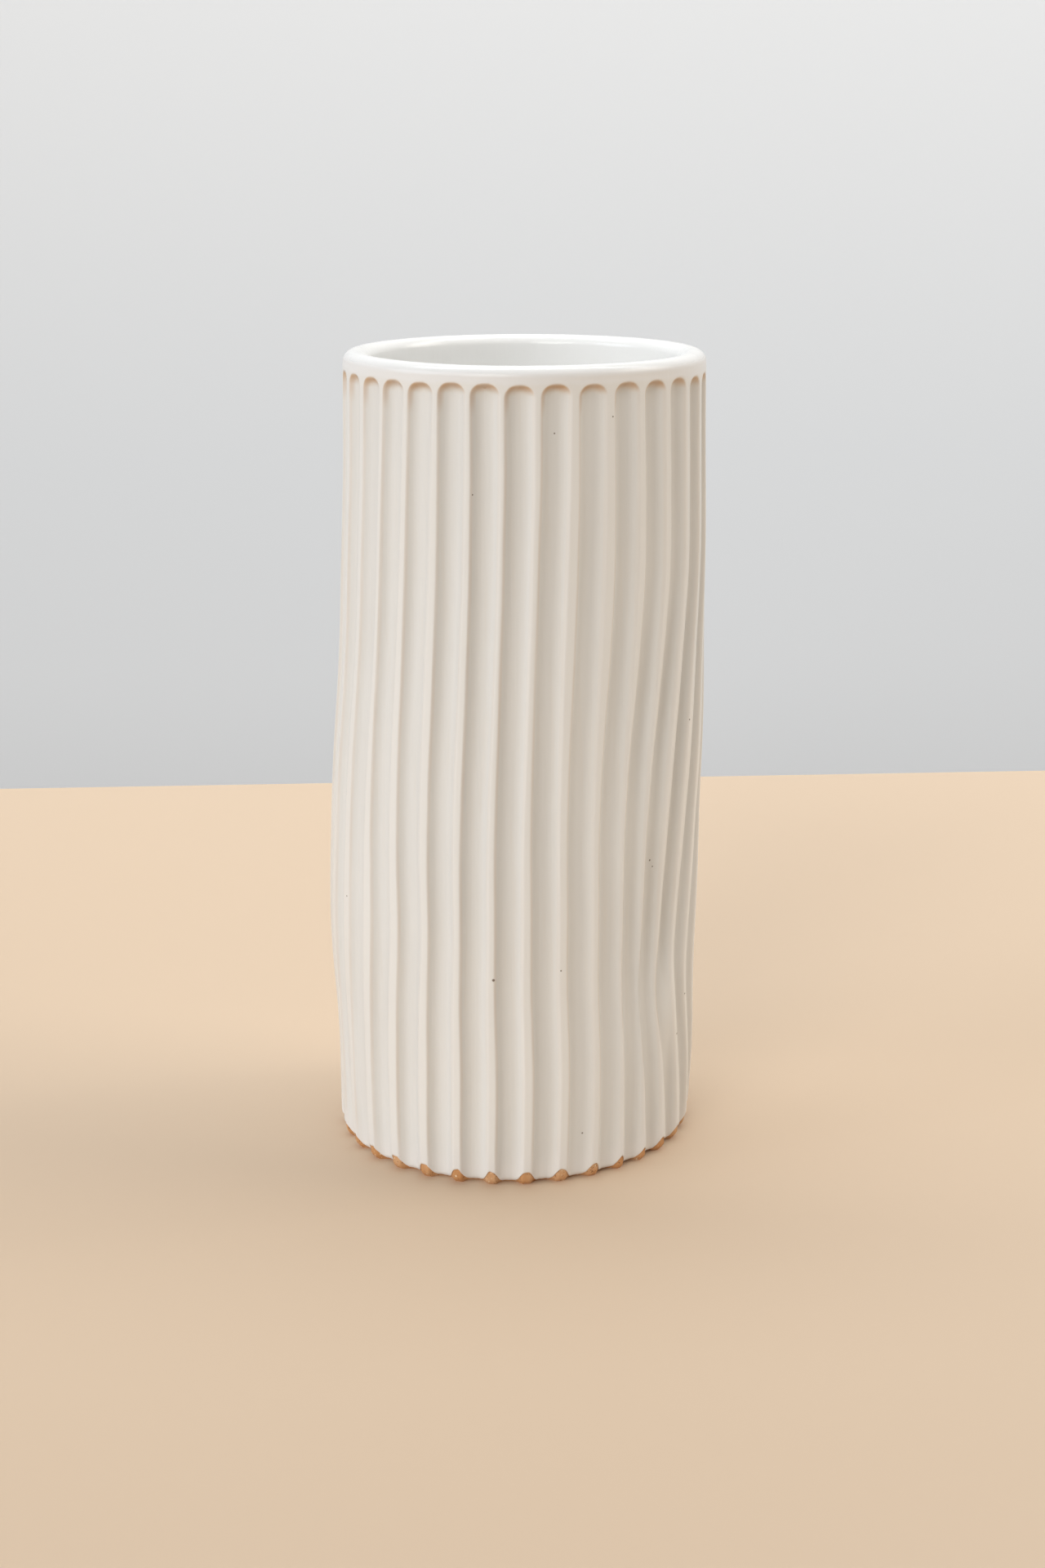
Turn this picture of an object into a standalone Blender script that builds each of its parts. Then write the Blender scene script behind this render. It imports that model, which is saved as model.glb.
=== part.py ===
"""Fluted stoneware vase: a carved clay wall on a clay floor, a glaze skin outside and a liner inside.

Metres and +Z up. The origin is the middle of the foot, and the front faces -Y. Angles are in degrees,
0 at the front and growing towards +X.
"""
import math

import bpy
import numpy as np

HEIGHT = 0.2306
WALL = 0.0068           # glazed thickness of the wall behind a land
FLOOR_TOP = 0.0090      # top of the glazed floor
GLAZE = 0.0007          # thickness of both glaze skins
GAP = 0.0003            # clearance between touching pieces

# Radius over the lands and sideways lean of the axis, each as (height, value)
BODY = ((0.0, 0.0521), (0.040, 0.0534), (0.072, 0.0542), (0.110, 0.0537), (0.155, 0.0524),
        (HEIGHT, 0.0506))
LEAN = ((0.0, 0.0), (0.030, 0.0010), (0.058, 0.0008), (0.097, 0.0020), (0.135, 0.0041),
        (0.174, 0.0057), (HEIGHT, 0.0069))
RIM_TILT = 0.0010       # the rim rises this much on its high side and drops as much opposite
RIM_HIGH = -55.0

# Flutes, cut by a ball-ended tool drawn from just under the rim down through the foot
FLUTES = 32
FLUTE_WIDTH = 0.0076
FLUTE_DEPTH = 0.0023
RIM_BAND = 0.0047       # plain band between the tops of the flutes and the rim's crest
FIRST_RIDGE = -62.6
GROOVE_POINTS = (-1.0, -0.45, 0.45, 1.0)    # across a groove, as shares of its half width
WIDEST = 0.47           # half of the widest groove, as a share of the way from ridge to ridge

# How hand carving strays from even spacing: waves round the pot as (waves, sine, cosine) and
# sideways nudges as (degrees, angle, height, spread in degrees, spread in height)
STRAY_WAVES = ((1, -1.6, 1.1), (2, 1.1, 0.4), (3, -0.9, -2.0))
STRAY_NUDGES = ((-8.7, 59.4, 0.0535, 22.9, 0.079), (3.7, -43.6, 0.0700, 30.9, 0.033),
                (-5.9, -55.7, 0.0405, 34.9, 0.080), (-2.2, -41.3, 0.1696, 14.0, 0.059),
                (-5.5, 71.3, 0.1194, 45.0, 0.047), (-1.7, 11.0, 0.1600, 9.0, 0.050),
                (-2.6, 68.0, 0.0500, 13.0, 0.018), (-11.5, 98.0, 0.0520, 27.0, 0.045),
                (-2.3, 55.0, 0.2150, 22.0, 0.030))
DENT = (0.0016, 58.0, 0.064, 15.0, 0.030)   # depth, angle, height, spread in degrees and in height

RIM_ROLL = 0.0028       # height of the rounded rim
ROLL_STEPS = 4
LIP_DEPTH = 0.0120      # how far the outer glaze runs down inside the mouth
FOOT_BEVEL = 0.0008
BARE_TROUGH = 0.0012    # bare clay under the glaze in a groove and on a land
BARE_LAND = 0.0028
COVE = 0.0030           # pooled glaze in the corner between floor and wall
LINER_SIDES = 72

BALL = (FLUTE_WIDTH ** 2 / 4 + FLUTE_DEPTH ** 2) / (2 * FLUTE_DEPTH)
ARCH = HEIGHT - RIM_BAND - FLUTE_WIDTH / 2      # height where a flute's rounded end begins
WALL_HEIGHTS = (0.018, 0.035, 0.050, 0.070, 0.105, 0.140, 0.180, ARCH, ARCH + 0.3 * FLUTE_WIDTH,
                ARCH + 0.5 * FLUTE_WIDTH)
LIP = HEIGHT - LIP_DEPTH                        # where the two glazes meet inside the mouth
INSIDE_HEIGHTS = (LIP, 0.150, 0.080)


def smooth(stations, z):
    """Smooth curve through a few (height, value) stations."""
    heights, values = (np.array(column) for column in zip(*stations))
    slopes = np.gradient(values, heights)
    i = int(np.clip(np.searchsorted(heights, z) - 1, 0, len(heights) - 2))
    span = heights[i + 1] - heights[i]
    t = (z - heights[i]) / span
    return ((1 + 2 * t) * (1 - t) ** 2 * values[i] + t * (1 - t) ** 2 * span * slopes[i]
            + t * t * (3 - 2 * t) * values[i + 1] + t * t * (t - 1) * span * slopes[i + 1])


def bell(angle, z, centre, height, spread, rise):
    """1 at the centre of a patch of the wall, fading out round it."""
    away = (angle - centre + 180) % 360 - 180
    return math.exp(-(away / spread) ** 2 - ((z - height) / rise) ** 2)


def ridge_angle(k, z):
    """Where ridge k really runs at a height."""
    even = FIRST_RIDGE + 360 * k / FLUTES
    t = math.radians(even)
    waves = sum(s * math.sin(n * t) + c * math.cos(n * t) for n, s, c in STRAY_WAVES)
    return even + waves + sum(push * bell(even, z, *patch) for push, *patch in STRAY_NUDGES)


def land_radius(angle, z):
    depth, *patch = DENT
    return smooth(BODY, z) - depth * bell(angle, z, *patch)


def inner_radius(z):
    return smooth(BODY, z) - WALL


def place(angle, radius, z):
    """A point of the pot from its angle, radius and height, leaning and tilting as the pot does."""
    turn = math.radians(angle)
    tilt = RIM_TILT * (z / HEIGHT) ** 2 * radius / BODY[-1][1]
    return (smooth(LEAN, z) + radius * math.sin(turn), -radius * math.cos(turn),
            z + tilt * math.cos(turn - math.radians(RIM_HIGH)))


def cut_radius(middle, angle, z, inset):
    """Radius at an angle of the groove whose middle is given, this far under its surface."""
    level = land_radius(angle, z)
    across = math.radians(angle - middle) * level
    reach = max((BALL + inset) ** 2 - across ** 2 - max(z - ARCH, 0) ** 2, 0)
    return level - FLUTE_DEPTH + BALL - math.sqrt(reach)


def groove_points(z, inset):
    """Angle, radius and share of a groove's depth round the fluted surface, this far under it.
    Where grooves crowd together they run into each other, and the ridge between is lower."""
    ridges = [ridge_angle(k, z) for k in range(-1, FLUTES + 2)]
    middles = [(left + right) / 2 for left, right in zip(ridges, ridges[1:])]
    for k in range(FLUTES):
        middle = middles[k + 1]
        land = land_radius(middle, z)
        space = math.radians(ridges[k + 2] - ridges[k + 1]) * land
        half = min(math.sqrt(FLUTE_DEPTH * (2 * (BALL + inset) - FLUTE_DEPTH)), WIDEST * space)
        for share in GROOVE_POINTS:
            angle = middle + math.degrees(share * half / land)
            level = land_radius(angle, z) - inset
            radius = min(level, *(cut_radius(near, angle, z, inset) for near in middles[k:k + 3]))
            yield angle, radius, (level - radius) / FLUTE_DEPTH


def fluted_ring(z, inset):
    return [place(angle, radius, z) for angle, radius, _ in groove_points(z, inset)]


def glaze_edge(inset):
    """Lower edge of the outer glaze: it runs lower in the grooves than on the lands."""
    ring = []
    for angle, radius, depth in groove_points(BARE_LAND, inset):
        ring.append(place(angle, radius, BARE_LAND + (BARE_TROUGH - BARE_LAND) * depth))
    return ring


def plain_ring(z, radius):
    """A ring without grooves, its points in line with those of the fluted rings."""
    return [place(angle, radius, z) for angle, _, _ in groove_points(z, 0)]


def rim_rings(inset):
    """The rounded rim from its outside over the crest to its inside."""
    base = HEIGHT - RIM_ROLL
    middle = smooth(BODY, base) - WALL / 2
    for step in range(ROLL_STEPS + 1):
        turn = math.pi * step / ROLL_STEPS
        yield plain_ring(base + (RIM_ROLL - inset) * math.sin(turn),
                         middle + (WALL / 2 - inset) * math.cos(turn))


def clay_wall():
    inset = GLAZE + GAP
    foot = [place(angle, radius - FOOT_BEVEL, 0) for angle, radius, _ in groove_points(0, inset)]
    rings = [foot, fluted_ring(FOOT_BEVEL, inset)]
    rings += [fluted_ring(z, inset) for z in WALL_HEIGHTS]
    rings += rim_rings(inset)
    rings += [plain_ring(z, inner_radius(z) + inset) for z in INSIDE_HEIGHTS]
    rings += [plain_ring(z, inner_radius(0) + inset) for z in (FLOOR_TOP, 0)]
    return tube(rings)


def outer_glaze():
    """The skin over the flutes and the rim: out and over its face, then back behind it."""
    face, back = ([glaze_edge(inset), *(fluted_ring(z, inset) for z in WALL_HEIGHTS),
                   *rim_rings(inset), plain_ring(LIP, inner_radius(LIP) + inset)]
                  for inset in (0, GLAZE))
    return tube(face + back[::-1])


def turned_ring(z, radius):
    return [place(360 * i / LINER_SIDES, radius, z) for i in range(LINER_SIDES)]


def clay_floor():
    radius = inner_radius(0) + GLAZE
    return cup([turned_ring(0, radius), turned_ring(FLOOR_TOP - GLAZE - GAP, radius)])


def liner_glaze():
    """A cup-shaped skin on the floor and up the inside of the wall."""
    heights = (LIP - GAP, *INSIDE_HEIGHTS[1:])
    base = inner_radius(0)
    outside = [turned_ring(FLOOR_TOP - GLAZE, base + GLAZE)]
    outside += [turned_ring(z, inner_radius(z) + GLAZE) for z in heights[::-1]]
    inside = [turned_ring(z, inner_radius(z)) for z in heights]
    inside += [turned_ring(FLOOR_TOP + COVE * (1 - math.sin(turn)), base - COVE * (1 - math.cos(turn)))
               for turn in (0, math.pi / 4, math.pi / 2)]
    return cup(outside + inside)


def band(rings, row, after):
    """Faces from one ring to another. Each splits along the same diagonal, whichever ring is
    higher, so that neighbouring skins bend alike."""
    sides = len(rings[row])
    rises = rings[after][0][2] > rings[row][0][2]
    for i in range(sides):
        j = (i + 1) % sides
        corners = (row * sides + i, row * sides + j, after * sides + j, after * sides + i)
        yield corners if rises else corners[1:] + corners[:1]


def tube(rings):
    """Closed surface through rings that come back to where they began."""
    faces = [face for row in range(len(rings)) for face in band(rings, row, (row + 1) % len(rings))]
    return [point for ring in rings for point in ring], faces


def cup(rings):
    """Closed surface through rings, with a flat face across the first and the last."""
    sides, last = len(rings[0]), len(rings) - 1
    faces = [face for row in range(last) for face in band(rings, row, row + 1)]
    faces += [range(sides - 1, -1, -1), range(last * sides, (last + 1) * sides)]
    return [point for ring in rings for point in ring], [tuple(face) for face in faces]


def material(name, colour, roughness):
    made = bpy.data.materials.new(name)
    made.use_nodes = True
    shader = made.node_tree.nodes["Principled BSDF"]
    shader.inputs["Base Color"].default_value = (*colour, 1)
    shader.inputs["Roughness"].default_value = roughness
    made.diffuse_color = (*colour, 1)
    return made


def add(name, shape, finish):
    mesh = bpy.data.meshes.new(name)
    mesh.from_pydata(shape[0], [], shape[1])
    mesh.materials.append(finish)
    mesh.shade_smooth()
    mesh.set_sharp_from_angle(angle=math.radians(35))
    made = bpy.data.objects.new(name, mesh)
    bpy.context.scene.collection.objects.link(made)


for old in list(bpy.data.objects):
    bpy.data.objects.remove(old, do_unlink=True)

bare_clay = material("bare_clay", (0.50, 0.27, 0.13), 0.9)
satin_white = material("satin_white_glaze", (0.80, 0.76, 0.69), 0.42)
liner_white = material("liner_glaze", (0.74, 0.72, 0.68), 0.2)

add("clay_wall", clay_wall(), bare_clay)
add("clay_floor", clay_floor(), bare_clay)
add("outer_glaze", outer_glaze(), satin_white)
add("liner_glaze", liner_glaze(), liner_white)
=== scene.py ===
"""The looks of the fluted stoneware vase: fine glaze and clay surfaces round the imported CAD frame."""
import math

import bpy
import numpy as np
from mathutils import Matrix, Vector


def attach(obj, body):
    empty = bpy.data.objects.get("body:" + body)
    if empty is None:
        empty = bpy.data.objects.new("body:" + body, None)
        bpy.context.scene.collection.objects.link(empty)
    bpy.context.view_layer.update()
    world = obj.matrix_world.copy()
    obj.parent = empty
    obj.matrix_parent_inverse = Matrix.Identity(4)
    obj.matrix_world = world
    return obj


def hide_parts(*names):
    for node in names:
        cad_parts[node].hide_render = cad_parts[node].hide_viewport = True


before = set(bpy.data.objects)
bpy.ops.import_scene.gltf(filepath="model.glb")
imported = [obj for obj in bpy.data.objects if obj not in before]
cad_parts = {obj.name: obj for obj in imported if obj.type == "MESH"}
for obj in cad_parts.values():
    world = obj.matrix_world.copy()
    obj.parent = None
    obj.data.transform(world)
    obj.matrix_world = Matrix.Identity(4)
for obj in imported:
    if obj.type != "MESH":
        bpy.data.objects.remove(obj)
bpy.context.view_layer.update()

# ---------------------------------------------------------------- the pot's shape, as in the CAD
# Metres and degrees. Angles are 0 at the front (-Y) and grow towards +X.
HEIGHT = 0.2306
WALL = 0.0068
FLOOR_TOP = 0.0090
BODY = ((0.0, 0.0521), (0.040, 0.0534), (0.072, 0.0542), (0.110, 0.0537), (0.155, 0.0524),
        (HEIGHT, 0.0506))
LEAN = ((0.0, 0.0), (0.030, 0.0010), (0.058, 0.0008), (0.097, 0.0020), (0.135, 0.0041),
        (0.174, 0.0057), (HEIGHT, 0.0069))
RIM_TILT = 0.0010           # the rim rises this much on its high side and drops as much opposite
RIM_HIGH = -55.0
FLUTES = 32
FLUTE_WIDTH = 0.0076
FLUTE_DEPTH = 0.0023
RIM_BAND = 0.0047           # plain band above the flutes
FIRST_RIDGE = -62.6
# How ridges stray from even spacing, in degrees: waves round the pot as (turns, sine, cosine), and
# local pushes as (push, angle, height, spread in degrees, spread in height)
STRAY_WAVES = ((1, -1.6, 1.1), (2, 1.1, 0.4), (3, -0.9, -2.0))
STRAY_NUDGES = ((-8.7, 59.4, 0.0535, 22.9, 0.079), (3.7, -43.6, 0.0700, 30.9, 0.033),
                (-5.9, -55.7, 0.0405, 34.9, 0.080), (-2.2, -41.3, 0.1696, 14.0, 0.059),
                (-5.5, 71.3, 0.1194, 45.0, 0.047), (-1.7, 11.0, 0.1600, 9.0, 0.050),
                (-2.6, 68.0, 0.0500, 13.0, 0.018), (-11.5, 98.0, 0.0520, 27.0, 0.045),
                (-2.3, 55.0, 0.2150, 22.0, 0.030))
DENT = (0.0016, 58.0, 0.064, 15.0, 0.030)   # depth, then place and spread as for the pushes
RIM_ROLL = 0.0028
LIP = HEIGHT - 0.0120       # where the outer glaze meets the liner inside the mouth

# ---------------------------------------------------------------- what only the fine surface has
GLAZE = 0.0005              # thickness of the fired glaze
SEAM = 0.00003              # hairline between one layer and the next
ARCH_SQUASH = 1.12          # flute ends are a little flatter than half circles
SOFTNESS = 0.00045          # how far the glaze rounds a carved edge
KEEN_LEFT, KEEN_RIGHT = 0.6, 2.0    # how much more or less it does so on a flute's two sides
FLUTE_ASIDE = 0.0004        # the flutes lie this much to the left of the middle between ridges
BOWL = 3.0                  # how flat the bottom of a flute is: 2 is round, more is flatter
FLUTE_SPAN = 1.6            # half widths from its middle up to which a flute is worked out
FOOT_TUCK = 0.00084         # the whole foot curves in this much, over the height of FOOT_CURVE
FOOT_CURVE = 0.0022
CLAY_BEVEL = 0.00056        # and the clay is trimmed back this much more at the very bottom
BEVEL_RISE = 0.0010
BARE_TROUGH = 0.0007        # bare clay below the glaze in a flute and on a land
BARE_LAND = 0.0042
CLIMB = (-0.0018, 0.0007)   # the glaze's edge climbs between these distances outside a flute's edge
RAGGED = 0.00025            # unevenness of the glaze's lower edge
GLAZE_ROLL = 0.0008         # how far above its edge the glaze reaches full thickness
RIM_JOIN = 0.0040           # the carved wall runs into the even rim from this far below the top
WALL_UNEVEN = 0.00012       # soft unevenness of the thrown wall, of the rim and of the flutes' paths
RIM_UNEVEN = 0.00018
PATH_UNEVEN = 0.00008
DEPTH_UNEVEN = 0.08         # change of a flute's depth along it, as a share
THROWING = 0.00013          # half the height, and the pitch, of the finger ridges up the inside
THROWING_PITCH = 0.0068
SPIRAL = 0.00015            # and of the rings on the floor
SPIRAL_PITCH = 0.0070
FLOOR_REACH = 0.00005       # the floor's disc is this much wider than the glazed inside
FLOOR_SEAT = 0.0001         # and the hole that it stands in is this much wider
EASED = 0.0004              # rounding of the clay's bottom edges
HOLLOW = 0.00022            # how much the underside rises towards its middle
COVE = 0.0060               # radius of the pooled glaze in the corner between floor and wall

# Patches of the wall as (amount, angle, height, spread in degrees, spread in height)
SWELL = (0.0010, 58.0, 0.045, 5.0, 0.015)               # a bulge under the dent
LOWER_ENDS = (0.0009, 72.0, HEIGHT, 22.0, 1.0)          # the flutes end lower on this side
DEPTH_PATCHES = ((-0.55, -66.0, 0.030, 11.0, 0.016),    # flutes less deep or deeper by this share
                 (0.22, 50.0, 0.120, 28.0, 0.090),
                 (-0.55, 58.0, 0.043, 5.0, 0.014))

# Rows and columns of the fine meshes
FINE_FOOT = 0.0060          # rows are close together below this height and above the next one
FINE_ARCH = HEIGHT - 0.0135
TIGHT = 0.0002              # height of the rows next to the meeting line of the two glazes
HUB = 0.0010                # radius of the innermost ring of a turned piece
GATHER = 1.6                # how strongly the glaze's first rows crowd at its lower edge
CLAY_GATHER = 1.5           # and the clay's at the bottom
HIDDEN_STEP = 0.0120        # rows of the surfaces between clay and glaze, up the wall and at the top
HIDDEN_ARCH_STEP = 0.0022
MOUTH_START = 0.0015        # the rows inside the mouth start this far under the rim's roll
# Columns across one flute, as shares from one ridge to the next, closest at its two edges
COLUMNS = (0.0, 0.045, 0.085, 0.120, 0.155, 0.20, 0.27, 0.36, 0.45, 0.55, 0.64, 0.73, 0.80, 0.845,
           0.880, 0.915, 0.955)

# The glaze's colour follows distances kept on its mesh in millimetres, and these stand for far away
MILLIMETRES = 1000
FAR_OUTSIDE, FAR_PAST, FAR_ABOVE = 5.0, 6.0, 200.0

rng = np.random.RandomState(7)
DEPTH_OF = rng.uniform(0.86, 1.12, FLUTES)          # each flute's own depth, reach and softness
REACH_OF = rng.uniform(-0.0004, 0.0003, FLUTES)
SOFT_OF = rng.uniform(0.7, 1.5, FLUTES)


def smooth(stations, z):
    """Smooth curve through a few (height, value) stations, for an array of heights."""
    heights, values = (np.array(column) for column in zip(*stations))
    slopes = np.gradient(values, heights)
    i = np.clip(np.searchsorted(heights, z) - 1, 0, len(heights) - 2)
    span = heights[i + 1] - heights[i]
    t = (z - heights[i]) / span
    return ((1 + 2 * t) * (1 - t) ** 2 * values[i] + t * (1 - t) ** 2 * span * slopes[i]
            + t * t * (3 - 2 * t) * values[i + 1] + t * t * (t - 1) * span * slopes[i + 1])


def fade(low, high, value):
    """0 below low, 1 above high, smooth between."""
    t = np.clip((value - low) / (high - low), 0, 1)
    return t * t * (3 - 2 * t)


def bell(angle, z, centre, height, spread, rise):
    """1 at the centre of a patch of the wall, fading out round it."""
    away = (angle - centre + 180) % 360 - 180
    return np.exp(-(away / spread) ** 2 - ((z - height) / rise) ** 2)


def ripple(angle, z, seed, turns, rise, count=7):
    """Smooth unevenness of about -1 to 1: waves with up to so many turns round and so long up."""
    own = np.random.RandomState(seed)
    total = 0
    for _ in range(count):
        round_pot = own.randint(0, turns + 1)
        up = own.uniform(-1, 1) / rise
        total = total + np.sin(np.radians(angle) * round_pot + 2 * math.pi * (up * z + own.rand()))
    return total / math.sqrt(2 * count)


def ridge_angle(k, z):
    """Where ridge k really runs at a height."""
    even = FIRST_RIDGE + 360 * k / FLUTES
    t = np.radians(even)
    waves = sum(s * np.sin(n * t) + c * np.cos(n * t) for n, s, c in STRAY_WAVES)
    return even + waves + sum(push * bell(even, z, *patch) for push, *patch in STRAY_NUDGES)


def land_radius(angle, z):
    """Radius of the uncut wall, with its dent, its bulge and its unevenness."""
    depth, *patch = DENT
    swell, *spot = SWELL
    return (smooth(BODY, z) - depth * bell(angle, z, *patch) + swell * bell(angle, z, *spot)
            + WALL_UNEVEN * ripple(angle, z, 3, 5, 0.05))


def inner_radius(z):
    """Radius of the glazed inside."""
    return smooth(BODY, z) - WALL


def soft_min(a, b, reach):
    """The smaller of two values, rounded where they are within this reach of each other."""
    h = np.clip(0.5 + 0.5 * (b - a) / reach, 0, 1)
    return b + (a - b) * h - reach * h * (1 - h)


def place(angle, radius, z):
    """Points of the pot from angles, radii and heights, leaning and tilting as the pot does."""
    turn = np.radians(angle)
    x = smooth(LEAN, z) + radius * np.sin(turn)
    tilt = RIM_TILT * (z / HEIGHT) ** 2 * radius / BODY[-1][1]
    rise = z + tilt * np.cos(turn - math.radians(RIM_HIGH))
    return np.stack(np.broadcast_arrays(x, -radius * np.cos(turn), rise), axis=-1)


def flute_columns():
    """The flute and the share across it of every column of a fluted surface."""
    k = np.repeat(np.arange(FLUTES), len(COLUMNS))
    return k, np.tile(COLUMNS, FLUTES)


def flute(j, angle, z, level):
    """How far flute j lies under the surface, with three distances: across it from its middle,
    outside its edge and above the start of its rounded end."""
    own = j % FLUTES
    middle = (ridge_angle(j, z) + ridge_angle(j + 1, z)) / 2
    wander = PATH_UNEVEN * ripple(angle, z, 11, 6, 0.03)
    across = np.radians(angle - middle) * level + wander + FLUTE_ASIDE
    depth = FLUTE_DEPTH * DEPTH_OF[own] * (1 + DEPTH_UNEVEN * ripple(angle, z, 5, 9, 0.06))
    for more, *patch in DEPTH_PATCHES:
        depth = depth * (1 + more * bell(angle, z, *patch))
    drop, *low_side = LOWER_ENDS
    end = (HEIGHT - RIM_BAND - FLUTE_WIDTH / 2 / ARCH_SQUASH + REACH_OF[own]
           - drop * bell(angle, z, *low_side))
    out = np.hypot(across, np.maximum(z - end, 0) * ARCH_SQUASH)
    under = depth * (1 - np.minimum(2 * out / FLUTE_WIDTH, FLUTE_SPAN) ** BOWL)
    return under, across, out - FLUTE_WIDTH / 2, z - end


def fluted(z, inset=0.0):
    """Angle and radius of the carved surface, this far under it, for rows of heights by flute
    columns, with the nearest flute's three distances."""
    k, share = flute_columns()
    z = np.broadcast_to(z, (len(z), len(k)))
    left, right = ridge_angle(k, z), ridge_angle(k + 1, z)
    angle = left + (right - left) * share
    level = land_radius(angle, z)
    under, across, outside, past = flute(k, angle, z, level)
    keen = SOFTNESS * SOFT_OF[k] * np.where(across < 0, KEEN_LEFT, KEEN_RIGHT)
    radius = soft_min(level, level - under, keen)
    for beside in (k - 1, k + 1):
        other, aside, beyond, _ = flute(beside, angle, z, level)
        keen = SOFTNESS * SOFT_OF[beside % FLUTES] * np.where(aside < 0, KEEN_LEFT, KEEN_RIGHT)
        radius = soft_min(radius, level - other, keen)
        across = np.where(beyond < outside, aside, across)
        outside = np.minimum(outside, beyond)
    return angle, radius - inset, across, outside, past


def closed_mesh(name, rings, closed, finish, masks=None):
    """A mesh through rings of points. closed: the last ring joins the first; otherwise a fan fills
    the first and the last ring."""
    rows, sides = rings.shape[:2]
    i, j = np.meshgrid(np.arange(rows if closed else rows - 1), np.arange(sides), indexing="ij")
    after, beside = (i + 1) % rows, (j + 1) % sides
    quads = np.stack([i * sides + j, i * sides + beside, after * sides + beside,
                      after * sides + j], axis=-1).reshape(-1, 4)
    points = rings.reshape(-1, 3)
    faces = quads.tolist()
    if not closed:
        hub = len(points)
        points = np.vstack([points, rings[0].mean(axis=0), rings[-1].mean(axis=0)])
        last = (rows - 1) * sides
        faces += [(hub, (s + 1) % sides, s) for s in range(sides)]
        faces += [(hub + 1, last + s, last + (s + 1) % sides) for s in range(sides)]
    mesh = bpy.data.meshes.new(name)
    mesh.from_pydata(points.tolist(), [], faces)
    for label, values in (masks or {}).items():
        flat = np.zeros(len(points))
        flat[:rows * sides] = np.broadcast_to(values, (rows, sides)).reshape(-1)
        mesh.attributes.new(label, "FLOAT", "POINT").data.foreach_set("value", flat)
    mesh.shade_smooth()
    mesh.materials.append(finish)
    made = bpy.data.objects.new(name, mesh)
    bpy.context.scene.collection.objects.link(made)
    return made


# ---------------------------------------------------------------- pieces
def rim_turn(inset, steps):
    """Rings over the rounded rim, as angles, radii and heights, from outside to inside."""
    base = HEIGHT - RIM_ROLL
    turn = np.linspace(0, math.pi, steps)[:, None]
    angle, *_ = fluted(np.full((1, 1), base))
    uneven = RIM_UNEVEN * ripple(angle, 0, 21, 4, 1)
    radius = smooth(BODY, base) - WALL / 2 + (WALL / 2 - inset) * np.cos(turn)
    return (np.broadcast_to(angle, (steps, angle.shape[1])), radius + uneven * np.sin(turn),
            base + (RIM_ROLL - inset) * np.sin(turn) + np.minimum(uneven, 0) * np.sin(turn))


def glaze_line():
    """Height of the lower edge of the outer glaze round the pot: high on the lands, ragged."""
    angle, _, _, outside, _ = fluted(np.full((1, 1), BARE_LAND))
    land = fade(*CLIMB, outside)
    ragged = RAGGED * ripple(angle, 0, 31, 180, 1, 15)
    return BARE_TROUGH + (BARE_LAND - BARE_TROUGH) * land + ragged * (0.4 + 0.6 * land)


def glaze_rows(inset, foot_rows, body_step, arch_step, rim_steps):
    """Rings of the outer glaze from its lower edge up, over the rim and down to the lip."""
    edge = glaze_line()
    share = np.linspace(0, 1, foot_rows)[:, None] ** GATHER
    foot = edge + (FINE_FOOT - edge) * share
    body = np.arange(FINE_FOOT + body_step, FINE_ARCH, body_step)[:, None]
    arch = np.arange(FINE_ARCH, HEIGHT - RIM_ROLL, arch_step)[:, None]
    z = np.vstack([np.broadcast_to(rows, (len(rows), edge.shape[1])) for rows in (foot, body, arch)])
    angle, radius, across, outside, past = fluted(z, inset)
    radius = radius - FOOT_TUCK * (1 - fade(0, FOOT_CURVE, z))
    if inset == 0:
        short = 1 - np.clip((z - edge) / GLAZE_ROLL, 0, 1)
        radius = radius - GLAZE * (1 - np.sqrt(1 - short ** 2))
    join = fade(HEIGHT - RIM_JOIN, HEIGHT - RIM_ROLL, z)
    radius = radius + (smooth(BODY, z) - inset - radius) * join * (outside > 0)
    over = rim_turn(inset, rim_steps)
    down = np.array([*np.linspace(HEIGHT - RIM_ROLL - MOUTH_START, LIP + TIGHT, 5), LIP])[:, None]
    wide = (len(down), z.shape[1])
    inside = (np.broadcast_to(over[0][0], wide), np.broadcast_to(inner_radius(down) + inset, wide), down)
    rings = np.vstack([place(angle, radius, z), place(*over), place(*inside)])
    pad = [(0, len(rings) - len(z)), (0, 0)]
    turned_in = np.concatenate([np.zeros(len(z)), np.linspace(0, 1, rim_steps), np.ones(len(down))])
    masks = {
        "across": np.pad(across * MILLIMETRES, pad),
        "outside": np.pad(outside * MILLIMETRES, pad, constant_values=FAR_OUTSIDE),
        "past": np.pad(past * MILLIMETRES, pad, constant_values=FAR_PAST),
        "above_edge": np.pad((z - edge) * MILLIMETRES, pad, constant_values=FAR_ABOVE),
        "inside": np.repeat(turned_in[:, None], z.shape[1], axis=1),
    }
    return rings, masks


def outer_glaze(finish):
    """The satin white coat: its face in fine rows and its hidden back in coarse ones."""
    face, masks = glaze_rows(0.0, foot_rows=16, body_step=0.0022, arch_step=0.00036, rim_steps=22)
    back, _ = glaze_rows(GLAZE, foot_rows=4, body_step=HIDDEN_STEP, arch_step=HIDDEN_ARCH_STEP,
                         rim_steps=9)
    rings = np.vstack([face, back[::-1]])
    masks = {label: np.vstack([m, np.zeros((len(back), m.shape[1]))]) for label, m in masks.items()}
    return closed_mesh("glaze_skin", rings, True, finish, masks)


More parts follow.
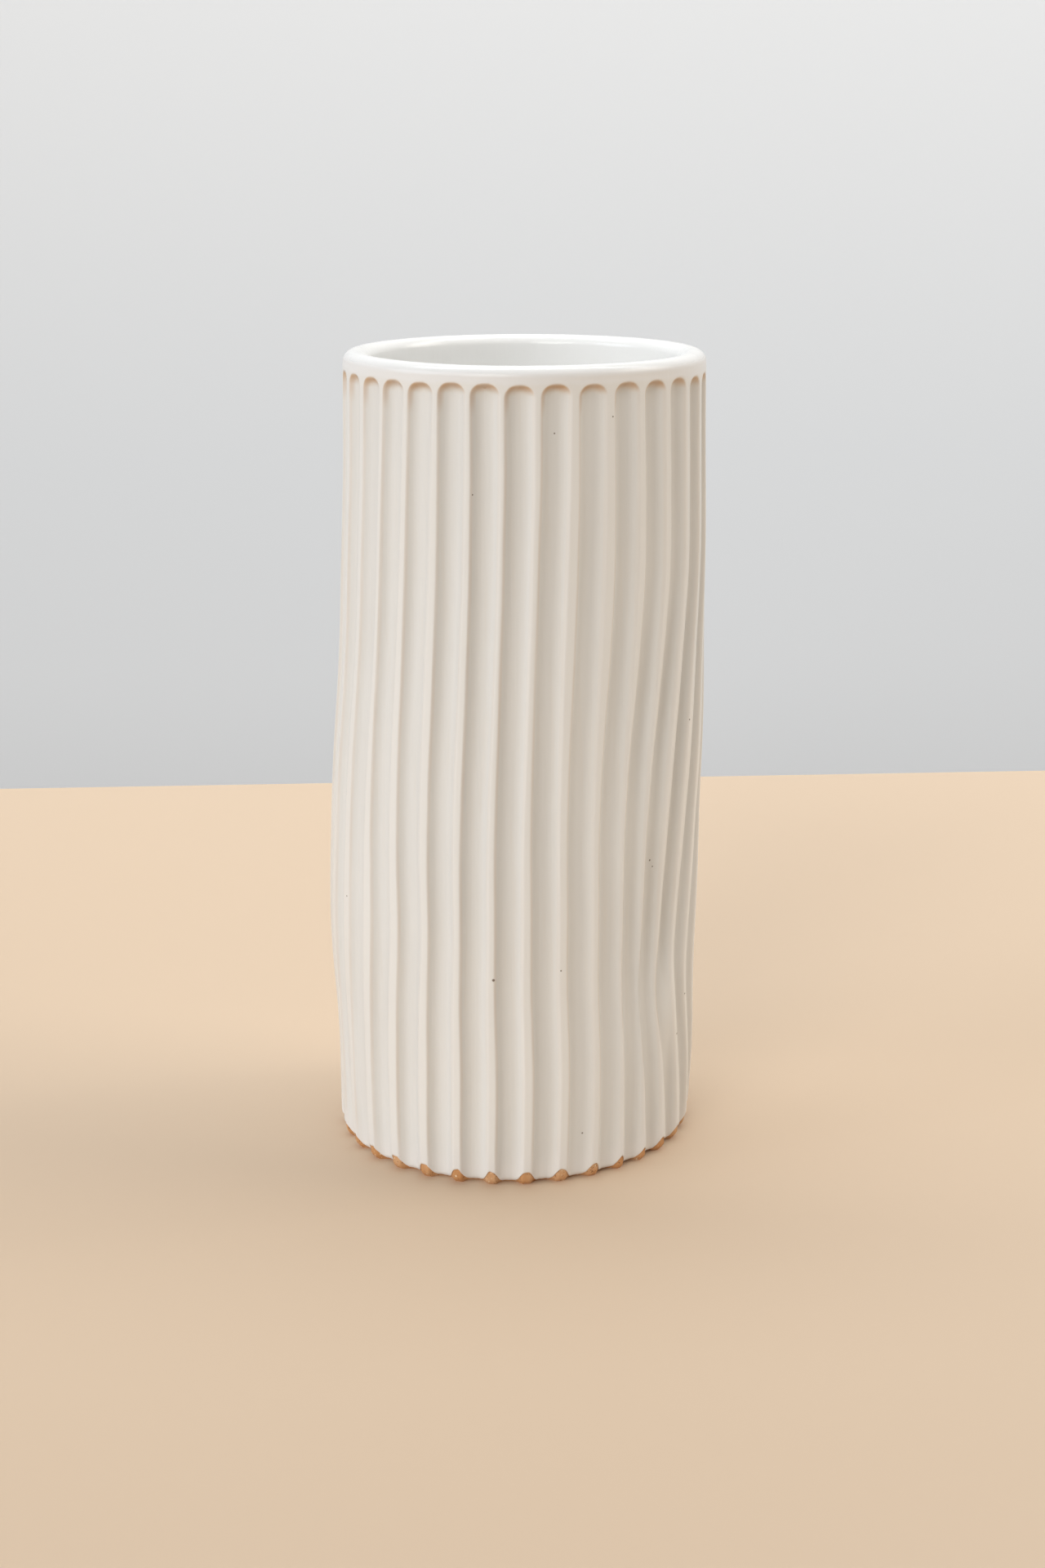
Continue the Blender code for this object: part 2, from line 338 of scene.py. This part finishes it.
def clay_wall(finish):
    """The carved clay: its outside is under the glaze, bare at the foot and underneath."""
    inset = GLAZE + SEAM
    z = np.concatenate([np.linspace(0, 1, 12) ** CLAY_GATHER * FINE_FOOT,
                        np.arange(HIDDEN_STEP, FINE_ARCH, HIDDEN_STEP),
                        np.arange(FINE_ARCH, HEIGHT - RIM_ROLL, HIDDEN_ARCH_STEP)])[:, None]
    angle, radius, *_ = fluted(z, inset)
    radius = (radius - FOOT_TUCK * (1 - fade(0, FOOT_CURVE, z))
              - CLAY_BEVEL * (1 - fade(0, BEVEL_RISE, z)))
    over = rim_turn(inset, 9)
    seat = inner_radius(0.0) + FLOOR_SEAT
    down = np.array([LIP, 0.150, 0.080, FLOOR_TOP, EASED])[:, None]
    hole = np.maximum(inner_radius(down) + inset, seat)
    inside = place(angle[:1], np.broadcast_to(hole, (len(down), angle.shape[1])), down)
    base = place(angle[:1], np.full((1, angle.shape[1]), seat + EASED), np.zeros((1, 1)))
    rings = np.vstack([place(angle, radius, z), place(*over), inside, base])
    return closed_mesh("clay_body", rings, True, finish)


def turned(name, profile, sides, finish):
    """A turned piece from (radius, height) points, leaning with the pot."""
    radius, z = (np.array(column)[:, None] for column in zip(*profile))
    angle = np.linspace(0, 360, sides, endpoint=False)[None, :]
    rings = place(angle, np.broadcast_to(radius, (len(radius), sides)), z)
    return closed_mesh(name, rings, False, finish)


def clay_floor(finish):
    """The disc of clay that closes the bottom, very slightly hollow underneath."""
    radius = inner_radius(0.0) + FLOOR_REACH
    top = FLOOR_TOP - GLAZE - SEAM
    under = [(r, HOLLOW * math.cos(r / radius * math.pi / 2) ** 2)
             for r in np.linspace(HUB, radius - EASED, 30)]
    return turned("clay_base", under + [(radius, EASED), (radius, top), (HUB, top)], 192, finish)


def liner_glaze(finish):
    """Glaze on the floor and up the inside, over the soft rings that the potter's fingers left."""
    base = inner_radius(0.0)
    back = [(HUB, FLOOR_TOP - GLAZE), (base, FLOOR_TOP - GLAZE)]
    back += [(inner_radius(z) + GLAZE - SEAM, z) for z in np.linspace(FLOOR_TOP, LIP - SEAM, 12)]
    face = []
    for z in (LIP - SEAM, *np.linspace(LIP - TIGHT, FLOOR_TOP + COVE, 110)):
        ridge = THROWING * math.sin(z / THROWING_PITCH * 2 * math.pi) * fade(LIP, LIP - 0.01, z)
        face.append((inner_radius(z) - ridge, z))
    for turn in np.linspace(0.1, math.pi / 2, 12):
        face.append((base - COVE * (1 - math.cos(turn)), FLOOR_TOP + COVE * (1 - math.sin(turn))))
    for r in np.linspace(base - COVE, HUB, 40)[1:]:
        ring = 1 - math.cos((base - COVE - r) / SPIRAL_PITCH * 2 * math.pi)
        face.append((r, FLOOR_TOP + SPIRAL * ring))
    return turned("liner_skin", back + face, 256, finish)


# ---------------------------------------------------------------- materials
class Shader:
    """A Principled material and short ways to add nodes to it."""

    def __init__(self, name, **sockets):
        self.material = bpy.data.materials.new(name)
        self.material.use_nodes = True
        self.tree = self.material.node_tree
        self.main = self.tree.nodes["Principled BSDF"]
        for label, value in sockets.items():
            self.main.inputs[label.replace("_", " ")].default_value = value

    def node(self, kind, settings=None, **inputs):
        made = self.tree.nodes.new("ShaderNode" + kind)
        for label, value in (settings or {}).items():
            setattr(made, label, value)
        for label, value in inputs.items():
            socket = made.inputs[int(label[1:])] if label[1:].isdigit() else made.inputs[
                label.replace("_", " ")]
            if hasattr(value, "is_output"):
                self.tree.links.new(value, socket)
            else:
                socket.default_value = value
        return made

    def mask(self, label):
        return self.node("Attribute", {"attribute_name": label}).outputs["Fac"]

    def math(self, operation, a, b=0.0, clamp=False):
        return self.node("Math", {"operation": operation, "use_clamp": clamp}, i0=a, i1=b).outputs[0]

    def span(self, value, low, high, out_low=0.0, out_high=1.0):
        """value taken from low..high to out_low..out_high, smooth and held at both ends."""
        made = self.node("MapRange", {"interpolation_type": "SMOOTHSTEP"}, i0=value, i1=low, i2=high,
                         i3=out_low, i4=out_high)
        return made.outputs[0]

    def noise(self, size, detail=3.0, stretch=(1, 1, 1)):
        """Noise whose features are about this many metres, longer where stretch is over 1."""
        where = self.node("TexCoord").outputs["Object"]
        scaled = self.node("VectorMath", {"operation": "DIVIDE"}, i0=where,
                           i1=tuple(size * s for s in stretch)).outputs[0]
        return self.node("TexNoise", Vector=scaled, Scale=1.0, Detail=detail).outputs["Fac"]

    def mix(self, share, a, b):
        made = self.node("Mix", {"data_type": "RGBA"}, i0=share)
        for socket, value in ((made.inputs[6], a), (made.inputs[7], b)):
            if hasattr(value, "is_output"):
                self.tree.links.new(value, socket)
            else:
                socket.default_value = (*value, 1)
        return made.outputs[2]

    def drive(self, label, value):
        self.tree.links.new(value, self.main.inputs[label])

    def bump(self, height, distance, strength=1.0):
        made = self.node("Bump", Strength=strength, Distance=distance, Height=height)
        self.drive("Normal", made.outputs[0])


GLAZE_WHITE = (0.775, 0.775, 0.755)
# Painted light: the lands' glaze is made whiter than the flutes', where they catch more light
LAND_PAINTED_LIGHT = (0.82, 0.815, 0.79)
GLAZE_RIM = (0.84, 0.845, 0.845)
GLAZE_COOL = (0.81, 0.80, 0.785)
GLAZE_CREAM = (0.75, 0.70, 0.63)
GLAZE_TAN = (0.52, 0.36, 0.225)
# Amber of glaze breaking thin in the flutes' ends, also used as painted shade there and down the flutes'
# left flanks
AMBER_AND_PAINTED_SHADE = (0.56, 0.36, 0.20)
LINER_WHITE = (0.925, 0.925, 0.91)
IRON = (0.10, 0.055, 0.02)
CLAY = (0.57, 0.28, 0.11)
CLAY_PALE = (0.66, 0.40, 0.215)
GROG_DARK = (0.30, 0.13, 0.05)
GROG_PALE = (0.80, 0.62, 0.42)
# The iron specks big enough to notice, as (angle, height, radius)
SPECKS = ((-6, 0.063, 0.00046), (-16, 0.197, 0.00026), (14, 0.065, 0.00026), (48, 0.091, 0.00030),
          (49, 0.089, 0.00022), (68, 0.118, 0.00032), (64, 0.129, 0.00026), (22, 0.014, 0.00028),
          (9, 0.213, 0.00024), (27, 0.217, 0.00024), (-62, 0.079, 0.00030), (70, 0.045, 0.00028),
          (62.5, 0.035, 0.00040))


def specks(shader, cell, largest, share):
    """1 in a few small round iron spots, sparse and uneven in size."""
    where = shader.node("TexCoord").outputs["Object"]
    cells = shader.node("TexVoronoi", Vector=where, Scale=1 / cell)
    lucky = shader.node("SeparateColor", i0=cells.outputs["Color"]).outputs
    radius = shader.math("MULTIPLY", shader.span(lucky[0], 1 - share, 1.0), largest / cell)
    near = shader.math("SUBTRACT", radius, cells.outputs["Distance"])
    return shader.span(near, 0.0, 0.25 * largest / cell)


def large_specks(shader):
    """1 in the specks that have a place of their own."""
    where = shader.node("TexCoord").outputs["Object"]
    total = 0.0
    for angle, height, radius in SPECKS:
        angles, radii, *_ = fluted(np.array([[height]]))
        spot = place(angle, np.interp(angle, angles[0], radii[0]), np.array(height))
        away = shader.node("VectorMath", {"operation": "DISTANCE"}, i0=where, i1=tuple(spot))
        total = shader.math("MAXIMUM", total,
                            shader.span(away.outputs["Value"], 0.5 * radius, 1.2 * radius, 1.0, 0.0))
    return total


def satin_glaze():
    """Creamy white, thin and tan on carved edges and in the flutes' ends, with painted shade in the
    flutes' ends and along their left sides, painted light on the lands, cooler towards the foot.
    """
    s = Shader("satin_white_glaze", Roughness=0.4, IOR=1.5)
    across, outside, past = s.mask("across"), s.mask("outside"), s.mask("past")
    above_edge, inside = s.mask("above_edge"), s.mask("inside")
    patchy = s.noise(0.006, 4.0, (1, 1, 6))
    cloudy = s.noise(0.03, 3.0, (1, 1, 2))
    streaks = s.noise(0.0016, 3.0, (1, 1, 30))

    # Cloudy white with creamy streaks, and painted light that makes the lands whiter than the flutes
    body = s.mix(s.span(cloudy, 0.35, 0.65), GLAZE_WHITE, tuple(0.975 * c for c in GLAZE_WHITE))
    body = s.mix(s.math("MULTIPLY", s.span(streaks, 0.5, 0.8), 0.2), body, GLAZE_CREAM)
    body = s.mix(s.span(outside, -0.8, 0.2), body, LAND_PAINTED_LIGHT)
    # A thin tan line along each carved edge where the glaze breaks thin, with painted shade making it
    # stronger on a flute's left side, which faces away from the light
    line = s.math("MULTIPLY", s.span(outside, -0.7, -0.1), s.span(outside, 0.0, 0.5, 1.0, 0.0))
    line = s.math("MULTIPLY", line, s.span(across, -1.0, 1.0, 0.25, 0.10))
    body = s.mix(s.math("MULTIPLY", line, s.span(patchy, 0.25, 0.75, 0.4, 1.0)), body, GLAZE_TAN)
    # Amber in the rounded end of each flute, partly the thin glaze's own colour and partly painted shade
    # under the end's downward face, and painted shade a little way down its left flank
    top = s.math("MULTIPLY", s.span(outside, -3.3, -0.8), s.span(outside, -0.1, 0.6, 1.0, 0.0))
    top = s.math("MULTIPLY", top, s.span(past, 0.2, 3.2))
    body = s.mix(s.math("MULTIPLY", top, s.span(patchy, 0.25, 0.75, 0.55, 1.0)), body, AMBER_AND_PAINTED_SHADE)
    # Painted shade down the left flank of each flute
    flank_shade = s.math("MULTIPLY", s.span(outside, -1.3, -0.4), s.span(outside, -0.1, 0.5, 1.0, 0.0))
    flank_shade = s.math("MULTIPLY", flank_shade, s.span(past, -6.0, 0.5))
    body = s.mix(s.math("MULTIPLY", flank_shade, s.span(across, -2.5, 0.0, 0.35, 0.0)), body, AMBER_AND_PAINTED_SHADE)
    # White rim, cooler foot with a tan edge, liner's white inside, and the iron specks
    body = s.mix(s.span(past, 2.7, 4.2), body, GLAZE_RIM)
    body = s.mix(s.span(above_edge, 2.0, 9.0, 0.75, 0.0), body, GLAZE_COOL)
    body = s.mix(s.span(above_edge, 0.0, 0.35, 0.8, 0.0), body, GLAZE_TAN)
    body = s.mix(s.span(inside, 0.05, 0.45), body, LINER_WHITE)
    body = s.mix(s.math("MULTIPLY", specks(s, 0.011, 0.0003, 0.06), 0.8), body, IRON)
    body = s.mix(s.math("MULTIPLY", large_specks(s), 0.85), body, IRON)
    s.drive("Base Color", body)
    s.drive("Roughness", s.math("ADD", s.span(inside, 0.0, 0.3, 0.33, 0.20),
                                s.math("MULTIPLY", s.math("SUBTRACT", patchy, 0.5), 0.12)))
    drag = s.math("ADD", s.noise(0.0011, 2.0, (1, 1, 25)), s.noise(0.0035, 2.0))
    s.bump(drag, 0.00006)
    return s.material


def liner():
    """Glossy white."""
    s = Shader("liner_glaze", Roughness=0.18, IOR=1.5)
    cloudy = s.noise(0.02, 3.0)
    body = s.mix(s.span(cloudy, 0.35, 0.7), LINER_WHITE, tuple(0.95 * c for c in LINER_WHITE))
    body = s.mix(s.math("MULTIPLY", specks(s, 0.011, 0.0004, 0.12), 0.8), body, IRON)
    s.drive("Base Color", body)
    s.bump(s.noise(0.004, 2.0), 0.00005)
    return s.material


def bare_clay():
    """Rough orange clay with dark and pale grog."""
    s = Shader("bare_clay", Roughness=0.85)
    body = s.mix(s.span(s.noise(0.009, 4.0), 0.35, 0.65), CLAY, CLAY_PALE)
    grog = s.noise(0.0007, 2.0)
    body = s.mix(s.span(grog, 0.62, 0.70), body, GROG_DARK)
    body = s.mix(s.span(s.noise(0.0009, 1.0), 0.66, 0.72), body, GROG_PALE)
    s.drive("Base Color", body)
    s.bump(s.noise(0.0005, 4.0), 0.00012)
    return s.material


def plain(name, colour, roughness):
    s = Shader(name, Base_Color=(*colour, 1), Roughness=roughness)
    return s.material


# ---------------------------------------------------------------- studio
CAMERA_AT = (0.0042, -0.7137, 0.3040)
CAMERA_PITCH = 15.63
CAMERA_ROLL = 1.0
CAMERA_LENS = 58.1
FLOOR_END = 0.38            # the floor stops behind the pot, with the backdrop well beyond it
FLOOR_COLOUR = (0.70, 0.54, 0.39)
BACKDROP_Y = 1.40
BACKDROP_COLOUR = (0.82, 0.83, 0.84)
# Windows and walls as wide soft suns: (name, degrees left of the front, degrees up, strength, colour)
SUNS = (("front_window", 23, 25, 1.12, (1.0, 0.99, 0.965)),
        ("left_window", 55, 30, 0.33, (1.0, 0.99, 0.98)),
        ("side_window", 75, 20, 0.70, (0.80, 0.885, 1.0)),
        ("room", -90, 30, 0.90, (1.0, 0.945, 0.865)))
SUN_WIDTH = 32.0
WASH = 21                   # watts of the lamp on the backdrop
WASH_COLOUR = (0.935, 0.975, 1.0)
SKY = 0.22                  # soft light from everywhere else
SKY_COLOUR = (1.0, 0.95, 0.91)


def studio():
    bpy.context.scene.view_settings.view_transform = "Standard"
    camera_data = bpy.data.cameras.new("camera")
    camera_data.lens = CAMERA_LENS
    camera_data.sensor_width = 36
    camera_data.clip_start = 0.01
    camera = bpy.data.objects.new("camera", camera_data)
    camera.location = CAMERA_AT
    tilt = Matrix.Rotation(math.radians(90 - CAMERA_PITCH), 3, "X")
    camera.rotation_euler = (tilt @ Matrix.Rotation(math.radians(-CAMERA_ROLL), 3, "Z")).to_euler()
    bpy.context.scene.collection.objects.link(camera)
    bpy.context.scene.camera = camera

    panel("floor", ((-3, -3, 0), (3, -3, 0), (3, FLOOR_END, 0), (-3, FLOOR_END, 0)),
          plain("pale_floor", FLOOR_COLOUR, 0.7))
    panel("backdrop", ((-4, BACKDROP_Y, -2), (4, BACKDROP_Y, -2), (4, BACKDROP_Y, 3),
                       (-4, BACKDROP_Y, 3)), plain("pale_backdrop", BACKDROP_COLOUR, 0.9))
    for name, left, up, strength, colour in SUNS:
        left, up = math.radians(left), math.radians(up)
        sun = light(name, "SUN", strength, colour, (0, 0, 1), Vector((
            math.sin(left) * math.cos(up), math.cos(left) * math.cos(up), -math.sin(up))))
        sun.angle = math.radians(SUN_WIDTH)
    wash = light("backdrop_wash", "AREA", WASH, WASH_COLOUR, (0.5, 0.45, 1.6), Vector((0, 0.95, -1.9)))
    wash.shape = "RECTANGLE"
    wash.size, wash.size_y = 3.0, 0.6
    world = bpy.data.worlds.new("world")
    world.use_nodes = True
    sky = world.node_tree.nodes["Background"].inputs
    sky["Color"].default_value = (*SKY_COLOUR, 1)
    sky["Strength"].default_value = SKY
    bpy.context.scene.world = world


def panel(name, corners, finish):
    mesh = bpy.data.meshes.new(name)
    mesh.from_pydata(corners, [], [(0, 1, 2, 3)])
    mesh.materials.append(finish)
    made = bpy.data.objects.new(name, mesh)
    bpy.context.scene.collection.objects.link(made)


def light(name, kind, strength, colour, stands, shines):
    data = bpy.data.lights.new(name, kind)
    data.energy = strength
    data.color = colour
    made = bpy.data.objects.new(name, data)
    made.location = stands
    made.rotation_euler = shines.to_track_quat("-Z", "Y").to_euler()
    bpy.context.scene.collection.objects.link(made)
    return data


def settle(piece, node):
    """The piece stands for a CAD node and moves with the pot."""
    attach(piece, "root")
    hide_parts(node)


clay = bare_clay()
settle(outer_glaze(satin_glaze()), "outer_glaze")
settle(liner_glaze(liner()), "liner_glaze")
settle(clay_wall(clay), "clay_wall")
settle(clay_floor(clay), "clay_floor")
studio()
